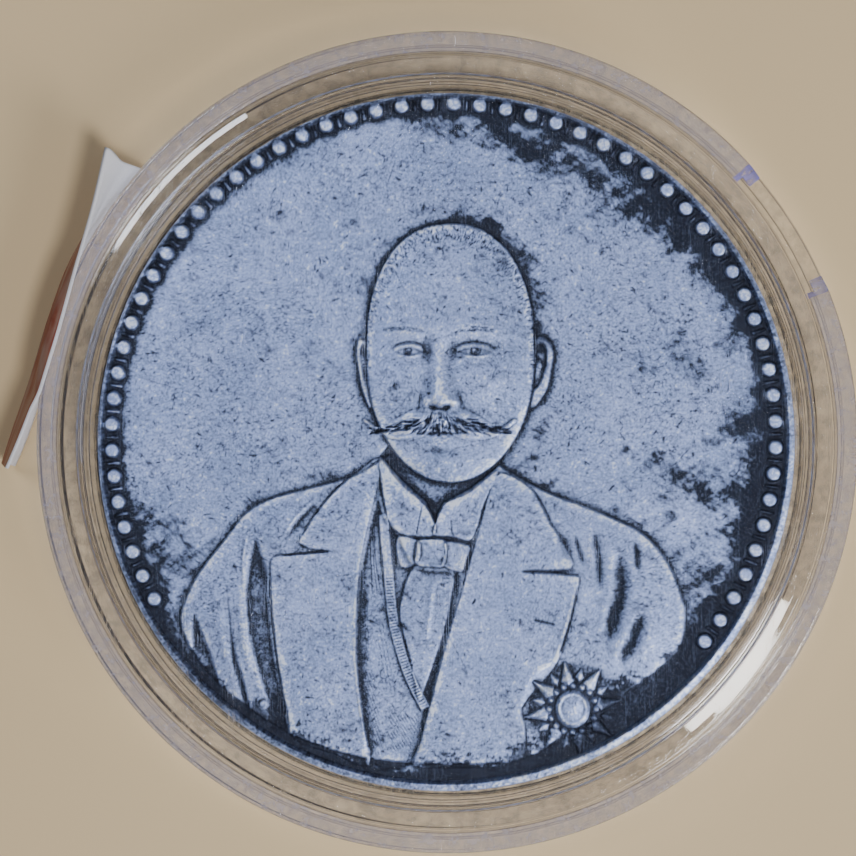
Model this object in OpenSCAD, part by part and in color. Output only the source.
// Round push-fit capsule for a large silver coin: a clear base with an upstanding plug wall, a clear
// lid whose skirt slides over it, the coin inside, and a paper label stuck to the lid's rim.
// Millimetres. +Z is the capsule's axis, the base's flat underside lies on Z = 0, and +Y is the top
// of the coin's picture.

/* [Capsule] */
// Outside diameter over the two rim flanges
capsule_d = 46; // [46:0.5:60]
// Closed thickness from window to window
capsule_h = 6.2; // [6.1:0.1:8]
// Thickness of the flat window in each half
window_t = 1.4; // [1:0.1:1.5]
// Thickness of the base's flange
flange_t = 0.9; // [0.5:0.1:1.2]
// Height of the plug wall above the base's flange
plug_h = 0.9; // [0.6:0.1:1]
// Radial running clearance between the plug wall and the lid's skirt
plug_gap = 0.05; // [0.02:0.01:0.1]

/* [Opening notch] */
// Angle of the fingernail notch's first end, counter-clockwise from +X
notch_from = 21.5; // [0:0.5:340]
// Angle that the notch takes up
notch_sweep = 21; // [10:1:30]
// Length of the slope at each end of the notch
notch_ramp = 1; // [0.2:0.1:1.5]

/* [Coin] */
// Diameter of the coin
coin_d = 39; // [30:0.5:39.6]
// Thickness of the coin over its rims
coin_h = 2.7; // [2:0.1:3]
// Width of the coin's raised rim
rim_w = 0.55; // [0.4:0.05:1]
// Angle from one bead of the border to the next
bead_pitch = 4.5; // [4:0.5:9]

/* [Label] */
// Direction from the capsule's centre to the middle of the label
label_at = 162; // [60:1:300]
// Thickness of the label's paper
label_t = 0.2; // [0.1:0.05:0.3]

/* [Hidden] */
$fn = 96;

// Capsule section
rim_r = capsule_d / 2;
drum_foot_r = rim_r - 1.25;
drum_r = rim_r - 1.4;
shoulder_r = rim_r - 1.9;
window_r = rim_r - 2.5;
window_top_r = rim_r - 2.6;
window_step = 0.35;
shoulder_step = 0.45;
drum_step = 0.5;
skirt_r = rim_r - 0.75;
plug_r = skirt_r - plug_gap;
cavity_r = coin_d / 2 + 0.5;
lid_cavity_r = cavity_r + 0.45;
edge = 0.15;
parting_z = capsule_h / 2 - 0.1;
plug_top = parting_z + plug_h;
web_z = plug_top + 0.05;
lid_rim_top = parting_z + 1.4;
cavity_top = capsule_h - window_t;
notch_spare = 3;

// Coin picture, about the middle of its slightly off-centre strike
coin_r = coin_d / 2;
strike = [-0.15, 0.35];
face_z = window_t + coin_h;
field_drop = 0.5;
relief_h = 0.4;
bead_r = 0.46;
bead_ring_r = coin_r - 0.9;
bead_from = -36;
bead_to = 211;
star_at = [7.1, -14.5];
star_points = 12;

// Label sheet: stations run along the rim, and rows run from its top edge down. Its top edge lies
// along the rim and then bends away, and the sheet bulges outwards below the edge.
label_from = -9.85;
label_to = 9;
label_stations = 18;
label_z = [lid_rim_top + 0.4, lid_rim_top + 0.05, 1.8, 0.35];
label_clear_r = rim_r + 0.07;

function ease(t) = let (u = min(max(t, 0), 1)) u * u * (3 - 2 * u);
function along(i) = label_from + (label_to - label_from) * i / label_stations;
function end_slant(row, s) = row == 0 ? 0 : 0.16 * max(0, -7 - s);
function stuck_edge(s) = rim_r - 0.51 - 0.03 * s + 0.0035 * pow(min(0, s + 2), 2);
function free_edge(s) = rim_r - 0.9 + 0.082 * s;
function crest(s) = let (w = ease((s - 3.9) / 1.6)) stuck_edge(s) * (1 - w) + free_edge(s) * w;
function belly(s) = rim_r + 0.58 - 0.045 * pow(min(0, s + 1.5), 2);
function foot(s) = belly(s) - 0.6 + 0.025 * pow(max(0, s - 6.2), 2);
function rim_edge(s) = sqrt(pow(label_clear_r, 2) - s * s);
function sheet_out(row, s) =
    row == 0 ? crest(s) :
    row == 1 ? max(rim_edge(s), crest(s) + 0.1 * (belly(s) - crest(s))) :
    row == 2 ? max(rim_edge(s), belly(s)) :
    max(rim_edge(s), foot(s));
function sheet_point(row, i, side) =
    let (s = along(i) + end_slant(row, along(i)))
        [sheet_out(row, s) + side * label_t, s, label_z[row]];
function ring_rows() = [[0, 0], [1, 0], [2, 0], [3, 0], [3, 1], [2, 1], [1, 1], [0, 1]];

// A star's outline, with a long and a short radius in turn
function star_outline(n, long, short) =
    [for (i = [0 : 2 * n - 1]) let (r = i % 2 == 0 ? long : short, a = 180 * i / n)
        [r * cos(a), r * sin(a)]];

module base_section() {
    polygon([
        [0, 0], [window_top_r, 0], [window_r, window_step], [shoulder_r, shoulder_step],
        [drum_r, drum_step], [drum_foot_r, parting_z - flange_t],
        [rim_r - edge, parting_z - flange_t], [rim_r, parting_z - flange_t + edge],
        [rim_r, parting_z], [plug_r, parting_z], [plug_r, plug_top - edge],
        [plug_r - edge, plug_top], [cavity_r, plug_top], [cavity_r, window_t], [0, window_t]
    ]);
}

module lid_section() {
    polygon([
        [0, cavity_top], [lid_cavity_r, cavity_top], [lid_cavity_r, web_z], [skirt_r, web_z],
        [skirt_r, parting_z], [rim_r, parting_z], [rim_r, lid_rim_top - edge],
        [rim_r - edge, lid_rim_top], [drum_foot_r, lid_rim_top],
        [drum_r, capsule_h - drum_step], [shoulder_r, capsule_h - shoulder_step],
        [window_r, capsule_h - window_step], [window_top_r, capsule_h], [0, capsule_h]
    ]);
}

module base() {
    color([0.82, 0.86, 0.92, 0.45])
        rotate_extrude() base_section();
}

// The solid that is left standing at the notch's first end, which slopes up away from the notch
module notch_end() {
    slope = notch_ramp / (lid_rim_top - parting_z);
    translate([drum_foot_r - 1, 0, 0]) rotate([90, 0, 90])
        linear_extrude(5)
            polygon([
                [-4, parting_z - 2], [notch_ramp + 2 * slope, parting_z - 2], [-slope, lid_rim_top + 1],
                [-4, lid_rim_top + 1]
            ]);
}

// The notch bares the base's flange, so that a nail can lift the lid's rim
module notch() {
    difference() {
        rotate([0, 0, notch_from - notch_spare]) rotate_extrude(angle = notch_sweep + 2 * notch_spare)
            translate([drum_foot_r + 0.05, parting_z - 1])
                square([3, lid_rim_top - parting_z + 1.5]);
        rotate([0, 0, notch_from]) notch_end();
        rotate([0, 0, notch_from + notch_sweep]) mirror([0, 1, 0]) notch_end();
    }
}

module lid() {
    color([0.86, 0.9, 0.95, 0.35])
        difference() {
            rotate_extrude() lid_section();
            notch();
        }
}

module blank() {
    difference() {
        translate([0, 0, window_t]) cylinder(r = coin_r, h = coin_h);
        translate([0, 0, face_z - field_drop]) cylinder(r = coin_r - rim_w, h = 1);
        translate([0, 0, window_t - 1]) cylinder(r = coin_r - rim_w, h = 1 + field_drop);
    }
}

module raised(height) {
    translate([strike[0], strike[1], face_z - field_drop - 0.1])
        linear_extrude(height + 0.1) children();
}

module beads() {
    for (a = [bead_from : bead_pitch : bead_to])
        rotate([0, 0, a]) translate([bead_ring_r, 0]) circle(r = bead_r, $fn = 24);
}

module head_outline() {
    translate([0.3, 7]) circle(r = 4.9);
    translate([0.3, 2]) circle(r = 4.1);
    translate([-4.1, 2]) square([8.8, 5]);
}

module shoulders_outline() {
    polygon([
        [-3.8, -1], [-9.5, -3.6], [-13.2, -7.2], [-14.6, -11], [-12.4, -14.2], [-8.6, -16.3],
        [-3, -17.9], [3, -17.9], [8.6, -16.3], [12.2, -13.2], [13.3, -9.6], [11.2, -5.6],
        [7.5, -3], [3.4, -1]
    ]);
}

module coin() {
    color("slategray") {
        blank();
        raised(relief_h - 0.15) {
            beads();
            shoulders_outline();
        }
        raised(relief_h) {
            head_outline();
            translate(star_at) polygon(star_outline(star_points, 2.7, 1.5));
        }
    }
}

module paper_label() {
    rows = ring_rows();
    n = len(rows);
    points = [for (i = [0 : label_stations]) for (r = rows) sheet_point(r[0], i, r[1])];
    near_cap = [for (k = [0 : 2]) each [[k, k + 1, n - 2 - k], [k, n - 2 - k, n - 1 - k]]];
    far_cap = [for (f = near_cap) [for (v = [2 : -1 : 0]) f[v] + label_stations * n]];
    walls = [for (i = [0 : label_stations - 1]) for (k = [0 : n - 1])
        let (a = i * n + k, b = i * n + (k + 1) % n)
            each [[a, a + n, b + n], [a, b + n, b]]];
    color("whitesmoke")
        rotate([0, 0, label_at])
            polyhedron(points = points, faces = concat(near_cap, far_cap, walls));
}

base();
lid();
coin();
paper_label();
